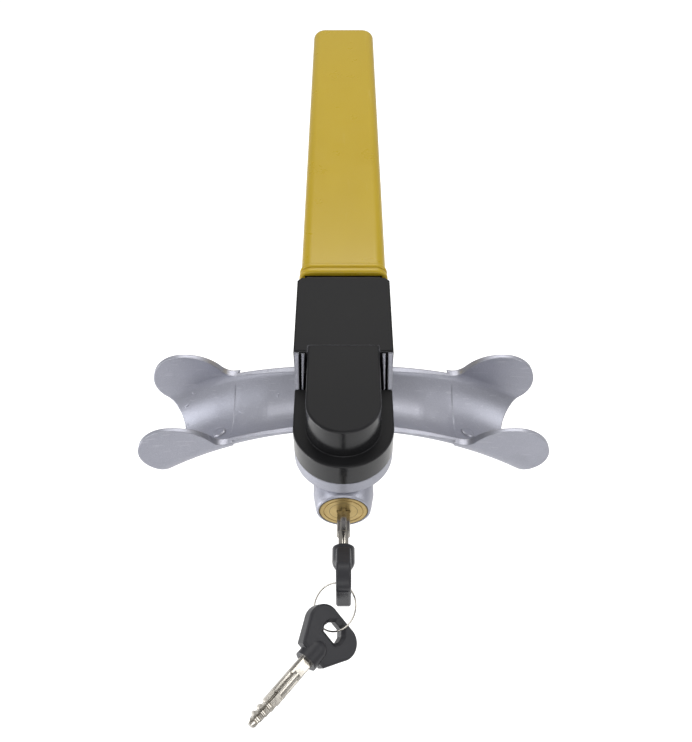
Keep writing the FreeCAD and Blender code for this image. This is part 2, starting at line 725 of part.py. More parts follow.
def bolt_cover():
    """Plate over the bolt pocket, and its two slotted screws."""
    top, gap = size.flange_top, 0.1
    plate = block("cover_plate_raw", (-size.cover_half + gap, size.cover_half - gap),
                  (size.cover_lo + gap, size.cover_hi - gap), (top - size.cover_thick, top))
    cuts = [block("striker_slot", (-size.striker_half - 0.4, size.striker_half + 0.4),
                  (size.striker_lo - 2.4, size.striker_hi + 0.9), (top - 3, top + 2))]
    screws = []
    shank_foot, head_foot = 7, top - SCREW_HEAD_SUNK
    for end, side in SIDES:
        x, y = side * COVER_SCREW_X, COVER_SCREW_Y
        cuts.append(cylinder("cover_hole_" + end, SCREW_RADIUS, 6, (x, y, 13)))
        cuts.append(cylinder("cover_sink_" + end, SCREW_HEAD_RADIUS, 2, (x, y, head_foot)))
        screw = fuse("cover_screw_" + end, [
            cylinder("cover_shank_" + end, SCREW_RADIUS, head_foot - shank_foot,
                     (x, y, shank_foot)),
            cylinder("cover_head_" + end, SCREW_HEAD_RADIUS, 0.8, (x, y, head_foot))])
        slot = block("cover_slot_" + end, (x - 2, x + 2), (y - 0.25, y + 0.25),
                     (top - 0.55, top + 1))
        screws.append(cut("cover_screw_cut_" + end, screw, slot))
    piece(cut("bolt_cover", plate, fuse("cover_cuts", cuts)), "bolt_cover")
    piece(fuse("cover_screw_pair", screws), "bolt_cover_screws")


# ---------------------------------------------------------------- plug, crank, bolt
def lock_plug():
    """Turning plug with a cross-shaped keyway, and the key pins in it."""
    face, end, level = size.face_y, size.bore_end, size.lock_level
    plug = fuse("plug_solid", [lock_rod("plug_body", size.plug_radius, end - face, face),
                               lock_rod("plug_tail", TAIL_RADIUS, 1.7, end)])
    slot_half, slot_reach = 1.15, 3.25
    keyway_y = (face - 1, -51.0)
    cuts = [block("keyway_up", both(slot_half), keyway_y,
                  (level - slot_reach, level + slot_reach)),
            block("keyway_side", both(slot_reach), keyway_y,
                  (level - slot_half, level + slot_half)),
            lock_rod("tail_thread", CRANK_SCREW_RADIUS, 4, end - 1.0)]
    cuts += pin_row("key_chamber_%d", CHAMBER_RADIUS, 7, 0.6)
    piece(cut("lock_plug", plug, fuse("plug_cuts", cuts)), "lock_plug")

    pin_top, gap = 6.6, 0.06
    pins = [cylinder("key_pin_%d" % i, PIN_RADIUS, pin_top - key_top - gap,
                     (0, y, level + key_top + gap))
            for i, (y, key_top) in enumerate(zip(PIN_Y, KEY_TOP))]
    piece(fuse("key_pin_row", pins), "key_pins")


def crank_and_bolt():
    """Crank on the plug's tail, its screw, and the bolt slotted for the crank's finger."""
    end, level, arm, finger_radius = (
        size.bore_end, size.lock_level, size.crank_arm, size.crank_pin)
    diagonal = 0.70711      # the arm points 45 degrees down toward -X
    finger_x, finger_z = -arm * diagonal, level - arm * diagonal
    crank = fuse("crank_solid", [
        lock_rod("crank_disc", 6.4, 1.6, end + 0.1),
        cylinder("crank_finger", finger_radius, 3.4, (finger_x, end + 1.6, finger_z), "Y")])
    piece(cut("crank", crank, lock_rod("crank_hole", TAIL_RADIUS, 6, end - 2)), "crank")
    screw = fuse("crank_screw", [
        lock_rod("crank_screw_head", 2.1, 0.85, end + 1.72),
        lock_rod("crank_screw_shank", CRANK_SCREW_RADIUS, 2.6, end - 0.88)])
    piece(screw, "crank_screw")

    left, back, top = -11.4, -30.5, 0.6
    bolt = fuse("bolt_solid", [
        block("bolt_yoke", (left, 1.3), (-39.2, -37.4), (size.pocket_floor + 0.2, -3.6)),
        block("bolt_leg", (left, -7.8), (-39.2, back), (-9.0, top)),
        block("bolt_nose", (-8, -2.6), (-34.7, back), (-4.2, top))])
    side_gap, end_gap = 0.2, 0.35
    slot = block("bolt_slot", (finger_x - finger_radius - side_gap,
                               finger_x + finger_radius + side_gap), (-45, -36),
                 (level - arm - finger_radius - end_gap, finger_z + finger_radius + end_gap))
    piece(cut("lock_bolt", bolt, slot), "lock_bolt")


# ---------------------------------------------------------------- jaw
def window_brace(end, side):
    """Gusset, its tie to the plate, and a sloped wedge beside one window of the shell."""
    low, high = size.window_y + 0.2, size.slab_low - 0.2
    foot = size.jaw_under + 0.4
    gusset_inner, gusset_outer = 21.3, 23.5
    side_view = [(low, foot), (high, foot), (high, size.jaw_top - 0.7),
                 (low, size.jaw_front - 0.4)]
    gusset = extrude(new_body("gusset_" + end), "gusset_side_" + end, "YZ_Plane", side_view,
                     2.2, offset=on_side(side, gusset_inner, gusset_outer)[0])
    tie = block("gusset_tie_" + end, on_side(side, 18, gusset_outer), (low, high),
                (foot, size.jaw_under + size.plate_thick))
    plan = [(side * 18.5, high), (side * 20.0, high), (side * 20.0, low), (side * 19.5, low)]
    wedge = extrude(new_body("wedge_" + end), "wedge_plan_" + end, "XY_Plane", plan[::side],
                    29.4, offset=foot)
    above = [(size.window_y - 3, size.jaw_front - 5.6), (size.slab_low + 3, size.jaw_top + 3.9),
             (size.slab_low + 3, 60), (size.window_y - 3, 60)]
    slope = extrude(new_body("wedge_slope_" + end), "wedge_side_" + end, "YZ_Plane", above,
                    60, sym=True)
    return [gusset, tie, cut("wedge_trim_" + end, wedge, slope)]


def striker_rivet_holes(name):
    return [cylinder(name + end, STRIKER_RIVET_RADIUS, 20, (0, y, 10))
            for end, y in STRIKER_RIVETS]


def bar_rivet_holes(name):
    return [cylinder(name % i, BAR_RIVET_RADIUS, 30, (x, y, BAR_RIVET_FOOT))
            for i, (x, y) in enumerate(BAR_RIVETS)]


def jaw_plate(barrel_room):
    """Flat frame of the jaw, with two ribs up to the bar and braces at the windows."""
    plan = stadium(size.plate_half, size.jaw_centre_y, 39.8)
    solids = [extrude(new_body("plate_blank"), "plate_plan", "XY_Plane", plan,
                      size.plate_thick, offset=size.jaw_under)]
    for end, side in SIDES:
        solids.append(block("frame_rib_" + end, on_side(side, 9, 16), (-6, 39.6),
                            (size.jaw_under + 2, size.core_low - 0.04)))
        solids += window_brace(end, side)
    cuts = [barrel_room, block("striker_gate", both(size.striker_half),
                               (size.striker_lo, size.striker_hi), (10, 30))]
    cuts += striker_rivet_holes("striker_rivet_hole_")
    cuts += [cylinder("fix_hole_" + end, 1.5, 20, (side * FIX_SCREW_X, FIX_SCREW_Y, 10))
             for end, side in SIDES]
    cuts += bar_rivet_holes("rivet_hole_%d")
    plate = cut("jaw_plate", fuse("frame_solid", solids), fuse("frame_cuts", cuts))
    piece(plate, "jaw_plate")


def striker():
    """Post that reaches down through the jaw plate to the bolt, and its two rivets."""
    plate_top = size.jaw_under + size.plate_thick
    solid = fuse("striker_solid", [
        block("striker_post", both(size.striker_half), (size.striker_lo, size.striker_hi),
              (size.striker_foot, plate_top + 1)),
        block("striker_head", both(4.5), (-43, -22.2),
              (plate_top, plate_top + STRIKER_HEAD_THICK))])
    cuts = [block("striker_window", both(5), (-34.95, -30.25),
                  (size.window_lo, size.window_hi))]
    cuts += striker_rivet_holes("striker_hole_")
    piece(cut("striker", solid, fuse("striker_cuts", cuts)), "striker")
    rivets = []
    for end, y in STRIKER_RIVETS:
        rivets.append(cylinder("striker_rivet_" + end, STRIKER_RIVET_RADIUS,
                               size.plate_thick + STRIKER_HEAD_THICK, (0, y, size.jaw_under)))
        rivets.append(cylinder("striker_rivet_head_" + end, 2.2, 0.9,
                               (0, y, plate_top + STRIKER_HEAD_THICK)))
    piece(fuse("striker_rivet_pair", rivets), "striker_rivets")


def jaw_pad():
    """Flat pad under the jaw plate."""
    thick, half, low, high = 1.6, 18.5, -17.5, 14.5
    plan = [(-half, low), (half, low), (half, high), (-half, high)]
    pad = extrude(new_body("pad_blank"), "pad_plan", "XY_Plane", plan, thick,
                  offset=size.jaw_under - thick)
    piece(pad, "jaw_pad")


def shell_outside():
    """Low plate, tapered dome over it, slab at the bar and cheeks around the hinge."""
    under, front, top, half = size.jaw_under, size.jaw_front, size.jaw_top, size.head_half
    lower = extrude(new_body("shell_lower"), "shell_lower_plan", "XY_Plane",
                    stadium(size.jaw_half, size.jaw_centre_y, 18), front - under, offset=under)

    def rim_edge(edge):
        box = edge.BoundBox
        return near(box.ZMin, front.value) and not near(box.YMin, box.YMax)

    dress(lower, "Fillet", "lower_round", rim_edge, 1.2)
    dome = extrude(new_body("shell_dome"), "dome_plan", "XY_Plane",
                   stadium(size.boss_d_half, size.boss_d_low + size.boss_d_half, -6),
                   top - front + 2.7, offset=front - 2, taper=-2)
    doc.recompute()
    dome_top = dome.Tip.Shape.BoundBox.ZMax
    dress(dome, "Fillet", "dome_round", lambda edge: near(edge.BoundBox.ZMin, dome_top), 1.1)

    low, end, bevel = size.slab_low, size.slab_end, 2.2
    plan = [(half, low), (half, end - bevel), (half - bevel, end), (-half + bevel, end),
            (-half, end - bevel), (-half, low)]
    slab = extrude(new_body("shell_slab"), "slab_plan", "XY_Plane", plan, top - under,
                   offset=under)
    dress(slab, "Fillet", "slab_round", lambda edge: near(edge.BoundBox.ZMin, top.value), 0.9)

    y, level, radius = size.hinge_y, size.hinge_level, 7.3
    side_view = [(y - radius, level + 8.4), (y - radius, level, y, level, True),
                 (y, level - radius), (end - 4.5, level - radius + 1.2),
                 (end, level - radius + 5.5), (end, level + 8.4)]
    cheek = extrude(new_body("shell_cheek"), "cheek_side", "YZ_Plane", side_view, 2 * half,
                    sym=True)
    return fuse("shell_solid", [lower, dome, slab, cheek])


def shell_cuts(barrel_room):
    """Hollows of the shell, the bar's opening, the hinge bore and the side windows."""
    under, front, top, wall = size.jaw_under, size.jaw_front, size.jaw_top, size.shell_wall
    end_y, gap = 39.85, size.fit_gap
    tools = [
        extrude(new_body("cavity_low"), "cavity_low_plan", "XY_Plane",
                stadium(size.plate_half + 0.05, size.jaw_centre_y, end_y),
                size.plate_thick + 1 + 0.02, offset=under - 1),
        extrude(new_body("cavity_mid"), "cavity_mid_plan", "XY_Plane",
                stadium(size.jaw_half - 4.2, size.jaw_centre_y, -8),
                front - under - wall, offset=under),
        extrude(new_body("cavity_dome"), "cavity_dome_plan", "XY_Plane",
                stadium(size.boss_d_half - 3.8, size.boss_d_low + size.boss_d_half, -6),
                top - front + 4 - wall - 0.4, offset=front - 4),
        block("cavity_slab", both(21.2), (size.slab_low + 2.6, end_y), (under + 1, top - 1.75)),
        barrel_room,
        block("belly_cut", both(size.cheek_in), (10, 33.0), (-10, under + 0.5)),
        block("core_gate", (-size.core_half - gap, size.core_half + gap), (30, 60),
              (size.core_low - gap, size.core_high + gap)),
        hinge_rod("cheek_bore", size.pin_radius + size.run_gap, 60, -30),
    ]
    tools += [block("window_" + end, on_side(side, size.window_in, 40),
                    (size.window_y, size.slab_low), (under - 2, top + 5))
              for end, side in SIDES]
    return fuse("shell_cuts", tools)


def jaw_shell(barrel_room):
    """Hollow cover of the jaw with two screw posts, and the screws in them."""
    under = size.jaw_under
    hollowed = cut("shell_hollow", shell_outside(), shell_cuts(barrel_room))
    posts, screws = [], []
    for end, side in SIDES:
        x, y = side * FIX_SCREW_X, FIX_SCREW_Y
        rod = cylinder("fix_post_rod_" + end, 3.4,
                       size.jaw_front - 1 - under - size.plate_thick,
                       (x, y, under + size.plate_thick + 0.02))
        bore = cylinder("fix_post_bore_" + end, SCREW_RADIUS, 8, (x, y, under))
        posts.append(cut("fix_post_" + end, rod, bore))
        screws.append(cylinder("fix_screw_" + end, SCREW_RADIUS, 7, (x, y, under + 0.3)))
        screws.append(cylinder("fix_collar_" + end, 1.5, 3.0, (x, y, under + 0.1)))
    piece(fuse("jaw_shell", [hollowed] + posts), "jaw_shell")
    piece(fuse("plate_screw_pair", screws), "plate_screws")


# ---------------------------------------------------------------- bar
def bar_core():
    """Rectangular tube, and the rivets that hold it to the jaw plate's ribs."""
    half, low, high, wall = size.core_half, size.core_low, size.core_high, size.core_wall
    blank = extrude(new_body("core_blank"), "core_section", "XZ_Plane",
                    rounded_box(half, low, high, 1.6), size.core_end - size.core_start,
                    offset=-size.core_end)
    cuts = [block("core_inside", (-half + wall, half - wall),
                  (size.core_start - 2, size.core_end + 2), (low + wall, high - wall))]
    cuts += bar_rivet_holes("core_hole_%d")
    piece(cut("bar_core", blank, fuse("core_cut_set", cuts)), "bar_core")
    rivets = []
    for i, (x, y) in enumerate(BAR_RIVETS):
        rivets.append(cylinder("bar_rivet_%d" % i, BAR_RIVET_RADIUS, high - BAR_RIVET_FOOT,
                               (x, y, BAR_RIVET_FOOT)))
        rivets.append(cylinder("bar_rivet_head_%d" % i, 3.4, 0.55, (x, y, high)))
    piece(fuse("bar_rivet_set", rivets), "bar_rivets")


def core_hole(name, y_range):
    """The core's section with a fitting gap all round."""
    gap = size.fit_gap
    return block(name, (-size.core_half - gap, size.core_half + gap), y_range,
                 (size.core_low - gap, size.core_high + gap))


def bar_sleeve():
    """Rounded sleeve over the core, with two raised lips at its jaw end."""
    half, corner, edge_radius = size.sleeve_half, size.sleeve_corner, size.sleeve_edge
    start, end, low, high = size.sleeve_start, size.sleeve_end, size.bar_low, size.bar_high
    plan = [
        (half, start), (half, end - corner, half - corner, end - corner, True),
        (half - corner, end), (-half + corner, end, -half + corner, end - corner, True),
        (-half, end - corner), (-half, start),
    ]
    sleeve = extrude(new_body("sleeve_blank"), "sleeve_plan", "XY_Plane", plan, high - low,
                     offset=low)

    def rim_edge(edge):
        box = edge.BoundBox
        at_start = near(box.YMin, start.value) and near(box.YMax, start.value)
        return near(box.ZMin, box.ZMax) and not at_start

    dress(sleeve, "Fillet", "sleeve_round", rim_edge, edge_radius)
    solids = [sleeve]
    # name ending, distance from the sleeve's start, width, height above the sleeve
    for name, along, width, out in (("a", 0, 3.6, size.lip_out), ("b", 4.3, 3.2, 0.85)):
        section = rounded_box(half + out, low - out, high + out, edge_radius + out)
        lip = extrude(new_body("lip_" + name), "lip_section_" + name, "XZ_Plane", section,
                      width, offset=-(start + along), rev=True)
        dress(lip, "Fillet", "lip_round_" + name,
              lambda edge: near(edge.BoundBox.YMin, edge.BoundBox.YMax), 1.3)
        solids.append(lip)
    hole = core_hole("sleeve_inside", (start - 5, size.core_end + 0.1))
    piece(cut("bar_sleeve", fuse("sleeve_solid", solids), hole), "bar_sleeve")


def neck_ring():
    """Thin ring around the core where it leaves the jaw."""
    ring = extrude(new_body("neck_blank"), "neck_section", "XZ_Plane",
                   rounded_box(21.2, 35.5, 45.3, 2.6), 1.7,
                   offset=-(size.slab_end + 0.05), rev=True)
    piece(cut("neck_ring", ring, core_hole("neck_inside", (30, 60))), "neck_ring")


# ---------------------------------------------------------------- keys and ring
# A key's own frame: axis on Y with the tip toward +Y, the bow flat in the YZ plane.
KEY_TIP, KEY_STOP, KEY_ROD_START = -52.0, -86.4, -94.4
# (y, radius) of the round notches in the blade
NOTCHES = ((-61.6, 1.2), (-58.0, 1.1), (-54.6, 1.3))
# (distance behind KEY_STOP, z) around the hole in the bow
BOW_HOLE = [(16.2, -4.9), (18.6, -4.4), (20.9, -2.2), (20.9, 2.2),
            (18.6, 4.4), (16.2, 4.9), (14.2, 3.6), (14.2, -3.6)]


def bow_y(distance):
    """Place on the bow, measured from KEY_STOP toward -Y."""
    return KEY_STOP - distance


def key_blade(tag):
    """Cross-shaped blade on a round rod, stepped on top and notched on the other three arms."""
    shank, arm_half = size.key_shank, 1.0
    blade_y = (-80.0, KEY_TIP)
    up = block("blade_up_" + tag, both(arm_half), blade_y, both(shank))
    across = block("blade_side_" + tag, both(shank), blade_y, both(arm_half))
    rod = cylinder("blade_rod_" + tag, shank + 0.15, 16.0, (0, KEY_ROD_START, 0), "Y")
    stop = cylinder("blade_stop_" + tag, shank + 0.1, 10.5, (0, -78.6, 0), "Y")
    quadrants = [(x_side, z_side) for z_side in (1, -1) for x_side in (1, -1)]
    stop_cuts = [block("stop_q%d_%s" % (i, tag), on_side(x_side, 1.45, 9), (-78.0, -60),
                       on_side(z_side, 1.45, 9))
                 for i, (x_side, z_side) in enumerate(quadrants)]
    stop_trim = cut("blade_stop_trim_" + tag, stop, fuse("stop_cuts_" + tag, stop_cuts))
    blade = fuse("blade_solid_" + tag, [up, across, rod, stop_trim])

    # each step runs from just before its pin to just past the start of the next one
    starts = [-65.0] + [y - 1.3 for y in PIN_Y[1:]] + [-40]
    steps = [block("bit_%d_%s" % (i, tag), both(2), (starts[i], starts[i + 1] + 0.1), (top, 6))
             for i, top in enumerate(KEY_TOP)]
    notches = []
    out = shank + 0.2
    for i, (y, radius) in enumerate(NOTCHES):
        ending = "%d_%s" % (i, tag)
        notches.append(cylinder("bit_low_" + ending, radius, 6, (-3, y, -out), "X"))
        notches.append(cylinder("bit_left_" + ending, radius, 6, (-out, y + 1.2, -3)))
        notches.append(cylinder("bit_right_" + ending, radius, 6, (out, y - 0.2, -3)))
    flats = [block("flat_%d_%s" % (i, tag), on_side(side, 2.3, 9), (-85.6, -79.6), both(6))
             for i, side in enumerate((1, -1))]

    # turned envelope that gives the tip its cone
    envelope = new_body("blade_envelope_" + tag)
    sketch = new_sketch(envelope, "envelope_profile_" + tag, "XY_Plane")
    outline(sketch, [(0, -100), (3.9, -100), (3.9, KEY_TIP - 3.0), (1.3, KEY_TIP),
                     (0, KEY_TIP)])
    revolve(envelope, sketch, (0, -90, 0, -60))
    nosed = boolean("Common", "blade_nosed_" + tag, blade, envelope)
    stepped = cut("blade_stepped_" + tag, nosed, fuse("blade_steps_" + tag, steps))
    waved = cut("blade_waved_" + tag, stepped, fuse("blade_waves_" + tag, notches))
    return cut("blade_cut_" + tag, waved, fuse("blade_flats_" + tag, flats))


def key_bow(tag):
    """Rounded bow with a chamfered hole, and a collar bored for the blade's rod."""
    half, half_thick = size.bow_half, size.bow_thick.value / 2
    # two corner arcs run from the wide flanks to the far end, about points at arc_centre
    arc_start, arc_centre = 12.6, 17.0
    far = arc_centre + math.sqrt(4.4 ** 2 + 6.2 ** 2 - 0.8 ** 2)
    centre_y, centre_z = bow_y(arc_centre), half - 7.4
    plan = [
        (bow_y(3.2), -7.2), (bow_y(3.2), 7.2),
        (bow_y(arc_start), half - 1.2, centre_y, centre_z, True), (bow_y(far), half - 8.2),
        (bow_y(far), -(half - 8.2), centre_y, -centre_z, True),
        (bow_y(arc_start), -(half - 1.2)),
    ]
    blank = extrude(new_body("bow_blank_" + tag), "bow_plan_" + tag, "YZ_Plane", plan,
                    size.bow_thick, sym=True)

    def flat_face_edge(edge):
        box = edge.BoundBox
        return near(abs(box.XMin), half_thick) and near(box.XMin, box.XMax)

    def hole_edge(edge):
        box = edge.BoundBox
        return (flat_face_edge(edge) and bow_y(21.3) < box.YMin and box.YMax < bow_y(13.8)
                and box.ZMax < 5.3 and box.ZMin > -5.3)

    dress(blank, "Fillet", "bow_round_" + tag, flat_face_edge, 1.2)
    sketch = new_sketch(blank, "bow_hole_" + tag, "YZ_Plane")
    outline(sketch, [(bow_y(distance), z) for distance, z in BOW_HOLE])
    hole = blank.newObject("PartDesign::Pocket", sketch.Name + "_cut")
    hole.Profile = sketch
    bind(hole, "Length", 30)
    hole.Midplane = True
    hole.Reversed = False
    dress(blank, "Chamfer", "bow_hole_chamfer_" + tag, hole_edge, 1.5)

    collar_radius, collar_length = 5.2, 6.4
    collar_y = bow_y(collar_length)
    collar = cylinder("bow_collar_" + tag, collar_radius, collar_length, (0, collar_y, 0), "Y")
    ball = doc.addObject("Part::Sphere", "bow_collar_end_" + tag)
    ball.Radius = collar_radius
    ball.Placement = Placement(Vector(0, collar_y, 0), Rotation())
    tongue = fuse("bow_tongue_" + tag, [collar, ball])
    bore = cylinder("bow_bore_" + tag, size.key_shank + 0.15, 30, (0, KEY_ROD_START, 0), "Y")
    return cut("bow_cut_" + tag, fuse("bow_solid_" + tag, [blank, tongue]), bore)


def unit(x, y, z):
    vector = Vector(x, y, z)
    vector.normalize()
    return vector


def square_to(vector, direction):
    """The part of a vector square to a unit direction, at unit length."""
    squared = vector - direction * vector.dot(direction)
    squared.normalize()
    return squared


def moved_piece(name, source, placement):
    """A copy of the finished shape, carried to its place on the lock."""
    copy = doc.addObject("Part::Feature", name)
    shape = source.Shape.copy()
    shape.Placement = placement.multiply(shape.Placement)
    copy.Shape = shape
    piece(copy, name)


def keys_and_ring():
    """One key in the lock, the ring through its bow, and the spare key hanging on the ring."""
    blade, bow = key_blade("one"), key_bow("one")
    spare_blade, spare_bow = key_blade("two"), key_bow("two")
    doc.recompute()
    hole_y = bow_y(17.7)
    level, ring_radius = size.lock_level.value, size.ring_radius.value

    ring_down = unit(-0.373, -0.82, -0.43)
    ring_side = square_to(unit(0.81, -0.502, 0.308), ring_down)
    ring_centre = Vector(0, hole_y, level) + ring_down * ring_radius
    ring = doc.addObject("Part::Torus", "ring_torus")
    bind(ring, "Radius1", size.ring_radius)
    bind(ring, "Radius2", size.ring_wire)
    ring.Placement = Placement(
        ring_centre, Rotation(ring_down, ring_side, ring_down.cross(ring_side), "ZXY"))

    # the spare hangs a little round from the ring's lowest point, rolled about its own axis
    turn, roll = math.radians(17), math.radians(18)
    hang_point = ring_centre + (
        ring_down * math.cos(turn) + ring_side * math.sin(turn)) * ring_radius
    wire_way = ring_side * math.cos(turn) - ring_down * math.sin(turn)
    tip_way = unit(-0.615, -0.785, 0.08)
    face_way = square_to(Vector(0.011, -0.424, 0.906), tip_way)
    across = tip_way.cross(face_way)
    if across.dot(wire_way) < 0:
        across = across * -1
    flat_way = face_way * math.cos(roll) + across * math.sin(roll)
    rotation = Rotation(flat_way, tip_way, flat_way.cross(tip_way), "XYZ")
    spare_place = Placement(hang_point - rotation.multVec(Vector(0, hole_y, 0)), rotation)

    lock_place = Placement(Vector(0, 0, level), Rotation())
    moved_piece("key_blade", blade, lock_place)
    moved_piece("key_bow", bow, lock_place)
    piece(ring, "key_ring")
    moved_piece("spare_key_blade", spare_blade, spare_place)
    moved_piece("spare_key_bow", spare_bow, spare_place)


# ---------------------------------------------------------------- build, check and write
clamp_casting()
trough_plugs()
hinge_hardware()
cylinder_shell()
cylinder_small_parts()
bolt_cover()
lock_plug()
crank_and_bolt()
hinge_room = barrel("barrel_room", "barrel_room_profile", size.cheek_in, size.barrel_gap)
jaw_plate(hinge_room)
striker()
jaw_pad()
jaw_shell(hinge_room)
bar_core()
bar_sleeve()
neck_ring()
keys_and_ring()

doc.recompute()
failed = [item.Name for item in doc.Objects if "Invalid" in item.State or "Error" in item.State]
failed += [name for obj, name in PIECES
           if obj.Shape.isNull() or not obj.Shape.isValid() or not obj.Shape.Solids]
if failed:
    raise RuntimeError("failed objects: " + ", ".join(failed))
os.makedirs("parts", exist_ok=True)
for obj, name in PIECES:
    obj.Shape.exportStep(os.path.join("parts", name + ".step"))
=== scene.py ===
"""A clamp lock with a silver casting, a black jaw, a brass lock cylinder and keys.

Metres, +Z up. The yellow bar runs along +Y and the camera looks from -Y, above.
The pieces come from the CAD. This script gives them materials and softened edges,
then adds a floor, lights and a camera.
"""
import bpy
import math
import bmesh
from functools import cached_property
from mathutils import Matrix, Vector


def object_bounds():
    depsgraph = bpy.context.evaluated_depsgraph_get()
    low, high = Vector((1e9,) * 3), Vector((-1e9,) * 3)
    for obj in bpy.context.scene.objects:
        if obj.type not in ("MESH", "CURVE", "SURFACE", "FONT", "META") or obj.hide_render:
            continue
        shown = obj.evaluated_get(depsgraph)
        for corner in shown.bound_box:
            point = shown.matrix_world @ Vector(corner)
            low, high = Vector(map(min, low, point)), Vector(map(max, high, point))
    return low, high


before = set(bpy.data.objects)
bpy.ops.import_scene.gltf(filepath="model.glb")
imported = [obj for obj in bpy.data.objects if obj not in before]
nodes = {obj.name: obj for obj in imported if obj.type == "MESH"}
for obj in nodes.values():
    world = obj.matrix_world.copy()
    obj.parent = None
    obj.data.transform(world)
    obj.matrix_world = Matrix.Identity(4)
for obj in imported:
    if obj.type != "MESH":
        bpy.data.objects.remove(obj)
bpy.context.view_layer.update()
scene = bpy.context.scene

WHITE = (1.0, 1.0, 1.0)

# places in the object space of the pieces
LOCK_AXIS_Z = -0.0055        # the lock axis runs along Y, at x = 0
LOCK_SEAM_RADIUS = 0.00672   # dark ring on the brass face
LOCK_SEAM_HALF_WIDTH = 0.00022
LOCK_RIM = (0.0108, 0.01165)       # radii over which the brass darkens
SLEEVE_SHEEN_Y = (0.13, 0.33)         # Y over which a painted sheen pales the vinyl
CORE_DIP = (0.298, 0.302)          # Y over which the core turns from steel to vinyl
# where the painted highlight on the jaw's raised middle falls, as fades in Z, Y and distance from
# x = 0
JAW_RIM_HIGHLIGHT_Z = (0.0452, 0.0460)
JAW_RIM_HIGHLIGHT_Y = (-0.0052, -0.0060)
JAW_RIM_HIGHLIGHT_HALF_X = (0.0181, 0.0186)

VINYL_DEEP = (0.425, 0.290, 0.0095)
VINYL_LIGHT = (0.475, 0.334, 0.015)

FLOOR_DROP = 0.19            # leaves room for the bar to swing down to its limit
FLOOR_HALF_SIZE = 4.0
UNDER_LIGHT_DROP = 0.13

CAMERA_AIM = Vector((0.0, 0.0, 0.00735))
CAMERA_DISTANCE = 0.4032
CAMERA_TILT = math.radians(49.07)             # below the horizon
CAMERA_SENSOR = 36.0                          # mm
CAMERA_LENS = 37.51495957                     # mm
CAMERA_SHIFT = (0.00336927224, 0.02425876011)  # fractions of the frame width


# ---------------------------------------------------------------- material builder
class Surface:
    """Builds one Principled material; textures are laid out in object space."""

    def __init__(self, name):
        self.material = bpy.data.materials.new(name)
        self.material.use_nodes = True
        self.tree = self.material.node_tree
        self.tree.nodes.clear()
        self.output = self.node("ShaderNodeOutputMaterial")
        self.shader = self.node("ShaderNodeBsdfPrincipled")
        self.put(self.shader.outputs[0], self.output.inputs[0])
        self.position = self.node("ShaderNodeTexCoord").outputs["Object"]

    @cached_property
    def geometry(self):
        return self.node("ShaderNodeNewGeometry").outputs

    def put(self, value, socket):
        """Link an output to the socket, or store a plain value in it."""
        if isinstance(value, bpy.types.NodeSocket):
            self.tree.links.new(value, socket)
        elif socket.type == "RGBA":
            socket.default_value = (*value, 1.0)
        else:
            socket.default_value = value

    def node(self, kind, inputs=None, **settings):
        node = self.tree.nodes.new(kind)
        for name, value in settings.items():
            setattr(node, name, value)
        for socket, value in (inputs or {}).items():
            self.put(value, node.inputs[socket])
        return node

    def finish(self, inputs):
        """Fill the Principled inputs and return the material."""
        for name, value in inputs.items():
            self.put(value, self.shader.inputs[name])
        return self.material

    def axes(self, vector):
        return self.node("ShaderNodeSeparateXYZ", {0: vector}).outputs

    def noise(self, scale, detail, roughness, stretch=None, distortion=0.0):
        vector = self.position
        if stretch:
            vector = self.node("ShaderNodeMapping", {0: vector, "Scale": stretch}).outputs[0]
        return self.node("ShaderNodeTexNoise", {
            "Vector": vector, "Scale": scale, "Detail": detail,
            "Roughness": roughness, "Distortion": distortion,
        }).outputs["Fac"]

    def remap(self, value, span=(0.0, 1.0), to=(0.0, 1.0)):
        return self.node("ShaderNodeMapRange", {
            "Value": value, "From Min": span[0], "From Max": span[1],
            "To Min": to[0], "To Max": to[1],
        }).outputs["Result"]

    def patches(self, span, to=(0.0, 1.0), **noise):
        """Noise with the band `span` remapped to `to`."""
        return self.remap(self.noise(**noise), span, to)

    def mix(self, mask, under, over):
        inputs = {0: mask, 6: under, 7: over}
        return self.node("ShaderNodeMix", inputs, data_type="RGBA").outputs[2]

    def math(self, operation, first, second=0.0):
        inputs = {0: first, 1: second}
        return self.node("ShaderNodeMath", inputs, operation=operation).outputs[0]

    def add(self, first, second):
        return self.math("ADD", first, second)

    def times(self, first, second):
        return self.math("MULTIPLY", first, second)

    def rounded(self, radius, samples):
        return self.node("ShaderNodeBevel", {"Radius": radius}, samples=samples).outputs[0]

    def edge_mask(self, radius):
        """1 on edges, 0 on flat faces: the rounded normal against the true one."""
        inputs = {0: self.rounded(radius, samples=4), 1: self.geometry["Normal"]}
        dot = self.node("ShaderNodeVectorMath", inputs, operation="DOT_PRODUCT")
        return self.remap(dot.outputs["Value"], span=(0.98, 0.80))

    def relief(self, *layers, rounding=None):
        """Stack bumps (height, strength, distance), lowest first, over rounded edges."""
        normal = self.rounded(rounding, samples=6) if rounding else None
        for height, strength, distance in layers:
            inputs = {"Height": height, "Strength": strength, "Distance": distance}
            if normal is not None:
                inputs["Normal"] = normal
            normal = self.node("ShaderNodeBump", inputs).outputs[0]
        return normal


def dimmed(colour, factor):
    return tuple(channel * factor for channel in colour)


